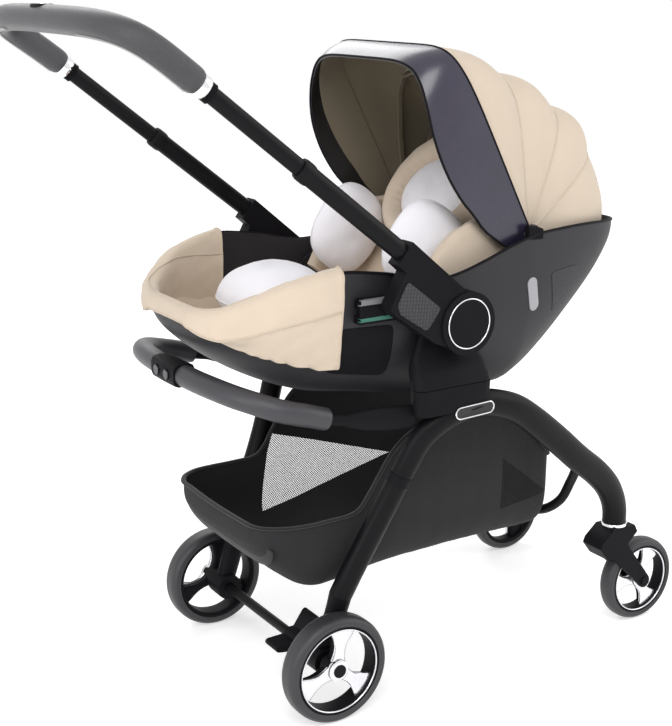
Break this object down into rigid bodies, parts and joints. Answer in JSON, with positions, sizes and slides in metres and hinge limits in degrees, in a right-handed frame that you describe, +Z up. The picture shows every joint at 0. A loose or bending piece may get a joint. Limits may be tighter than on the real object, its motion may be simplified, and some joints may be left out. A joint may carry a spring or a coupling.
{
  "type": "pram with lift-off seat",
  "caption": "Four-wheel pram with folding arched frame, swivel castors, lift-off shell seat, fan canopy, cushions, basket and turning telescopic push handle.",
  "frame": {"origin": "on the floor under the middle of the pram's bounding box", "axes": "+X forward, towards the castors; +Y to the left; +Z up"},
  "size_m": [1.0481, 0.49, 1.0496],
  "materials": {
    "tube": "satin black paint",
    "chrome": "polished",
    "rim": "silver",
    "button": "silver",
    "black_plastic": "fine grain",
    "shell": "fine grain",
    "tyre": "closed-cell foam",
    "foam": "dense foam sleeve",
    "leather": "stitched",
    "visor": "satin",
    "beige_cloth": "woven",
    "white_cloth": "soft jersey",
    "black_cloth": "woven with net windows"
  },
  "bodies": {
    "chassis": {"front_leg_right": "tube", "front_leg_left": "tube", "leg_collar_right": "chrome", "leg_collar_left": "chrome", "seat_dock_right": "black_plastic", "seat_dock_left": "black_plastic", "carry_bar": "black_plastic", "bar_grip_right": "foam", "bar_grip_left": "foam", "bar_switch_box": "black_plastic", "basket_hoop": "tube", "basket": "black_cloth"},
    "rear_frame": {"rear_leg_right": "tube", "rear_leg_left": "tube", "axle_foot_right": "black_plastic", "axle_foot_left": "black_plastic", "rear_axle": "tube"},
    "rear_wheel_right": {"rear_tyre_right": "tyre", "rear_rim_right": "rim"},
    "rear_wheel_left": {"rear_tyre_left": "tyre", "rear_rim_left": "rim"},
    "brake": {"brake_pedal": "black_plastic"},
    "castor_right": {"castor_fork_right": "black_plastic"},
    "castor_left": {"castor_fork_left": "black_plastic"},
    "front_wheel_right": {"front_tyre_right": "tyre", "front_rim_right": "rim"},
    "front_wheel_left": {"front_tyre_left": "tyre", "front_rim_left": "rim"},
    "bar_press_right": {"bar_button_right": "button"},
    "bar_press_left": {"bar_button_left": "button"},
    "seat": {"seat_post_right": "black_plastic", "seat_post_left": "black_plastic", "seat_shell": "shell", "foot_cover": "beige_cloth", "seat_base": "beige_cloth", "backrest": "beige_cloth", "head_pillow": "beige_cloth", "head_pad": "white_cloth", "body_bolster_right": "white_cloth", "body_bolster_left": "white_cloth", "leg_cushion": "white_cloth", "belt_guide_right": "black_plastic", "belt_guide_left": "black_plastic"},
    "handle_arms": {"handle_arm_right": "black_plastic", "handle_arm_left": "black_plastic"},
    "hub_press_right": {"hub_button_right": "black_plastic"},
    "hub_press_left": {"hub_button_left": "black_plastic"},
    "handle_mid": {"mid_tube_right": "tube", "mid_tube_left": "tube"},
    "handle_top": {"handle_bar": "tube", "handle_grip": "leather"},
    "grip_press": {"grip_button": "button"},
    "visor": {"canopy_visor": "visor", "canopy_gore_1": "beige_cloth"},
    "rib_1": {"canopy_rib_1": "black_plastic", "canopy_gore_2": "beige_cloth"},
    "rib_2": {"canopy_rib_2": "black_plastic", "canopy_gore_3": "beige_cloth"},
    "rib_3": {"canopy_rib_3": "black_plastic", "canopy_gore_4": "beige_cloth"}
  },
  "joints": [
    {"name": "chassis_fold", "type": "hinge", "parent": "chassis", "child": "rear_frame", "pos_m": [-0.0396, 0, 0.379], "axis": [0, -1, 0], "range_deg": [0, 55]},
    {"name": "rear_wheel_right_spin", "type": "hinge", "parent": "rear_frame", "child": "rear_wheel_right", "pos_m": [-0.1791, -0.1955, 0.0847], "axis": [0, 1, 0], "continuous": true},
    {"name": "rear_wheel_left_spin", "type": "hinge", "parent": "rear_frame", "child": "rear_wheel_left", "pos_m": [-0.1791, 0.1955, 0.0847], "axis": [0, 1, 0], "continuous": true},
    {"name": "brake_rock", "type": "hinge", "parent": "rear_frame", "child": "brake", "pos_m": [-0.1791, -0.088, 0.0847], "axis": [0, 1, 0], "range_deg": [0, 20]},
    {"name": "castor_right_swivel", "type": "hinge", "parent": "chassis", "child": "castor_right", "pos_m": [0.3932, -0.1795, 0.1905], "axis": [0, 0, 1], "continuous": true},
    {"name": "castor_left_swivel", "type": "hinge", "parent": "chassis", "child": "castor_left", "pos_m": [0.3932, 0.1795, 0.1905], "axis": [0, 0, 1], "continuous": true},
    {"name": "front_wheel_right_spin", "type": "hinge", "parent": "castor_right", "child": "front_wheel_right", "pos_m": [0.4511, -0.1795, 0.0732], "axis": [0, 1, 0], "continuous": true},
    {"name": "front_wheel_left_spin", "type": "hinge", "parent": "castor_left", "child": "front_wheel_left", "pos_m": [0.4511, 0.1795, 0.0732], "axis": [0, 1, 0], "continuous": true},
    {"name": "bar_button_right_press", "type": "slide", "parent": "chassis", "child": "bar_press_right", "axis": [1, 0, 0], "range_m": [0, 0.003], "stiffness_N_per_m": 300},
    {"name": "bar_button_left_press", "type": "slide", "parent": "chassis", "child": "bar_press_left", "axis": [1, 0, 0], "range_m": [0, 0.003], "stiffness_N_per_m": 300},
    {"name": "seat_lift", "type": "slide", "parent": "chassis", "child": "seat", "axis": [0, 0, 1], "range_m": [0, 0.3]},
    {"name": "handle_turn", "type": "hinge", "parent": "seat", "child": "handle_arms", "pos_m": [0.0232, 0, 0.597], "axis": [0, 1, 0], "range_deg": [0, 100]},
    {"name": "hub_button_right_press", "type": "slide", "parent": "handle_arms", "child": "hub_press_right", "axis": [0, 1, 0], "range_m": [0, 0.003], "stiffness_N_per_m": 600},
    {"name": "hub_button_left_press", "type": "slide", "parent": "handle_arms", "child": "hub_press_left", "axis": [0, -1, 0], "range_m": [0, 0.003], "stiffness_N_per_m": 600},
    {"name": "handle_mid_slide", "type": "slide", "parent": "handle_arms", "child": "handle_mid", "axis": [-0.7859, 0, 0.6184], "range_m": [-0.085, 0]},
    {"name": "handle_top_slide", "type": "slide", "parent": "handle_mid", "child": "handle_top", "axis": [-0.7859, 0, 0.6184], "range_m": [-0.16, 0]},
    {"name": "grip_button_press", "type": "slide", "parent": "handle_top", "child": "grip_press", "axis": [0, 0, -1], "range_m": [0, 0.002], "stiffness_N_per_m": 400},
    {"name": "canopy_turn", "type": "hinge", "parent": "seat", "child": "visor", "pos_m": [0.1924, 0, 0.7], "axis": [0, 1, 0], "range_deg": [0, 85], "deforming": ["canopy_gore_1"]},
    {"name": "canopy_rib_1_turn", "type": "hinge", "parent": "seat", "child": "rib_1", "pos_m": [0.1924, 0, 0.7], "axis": [0, 1, 0], "range_deg": [0, 65.1], "deforming": ["canopy_gore_2"]},
    {"name": "canopy_rib_2_turn", "type": "hinge", "parent": "seat", "child": "rib_2", "pos_m": [0.1924, 0, 0.7], "axis": [0, 1, 0], "range_deg": [0, 42.1], "deforming": ["canopy_gore_3"]},
    {"name": "canopy_rib_3_turn", "type": "hinge", "parent": "seat", "child": "rib_3", "pos_m": [0.1924, 0, 0.7], "axis": [0, 1, 0], "range_deg": [0, 18.1], "deforming": ["canopy_gore_4"]}
  ],
  "couplings": [
    {"joint": "canopy_rib_1_turn", "follows": "canopy_turn", "ratio": 0.765},
    {"joint": "canopy_rib_2_turn", "follows": "canopy_turn", "ratio": 0.494},
    {"joint": "canopy_rib_3_turn", "follows": "canopy_turn", "ratio": 0.212}
  ]
}
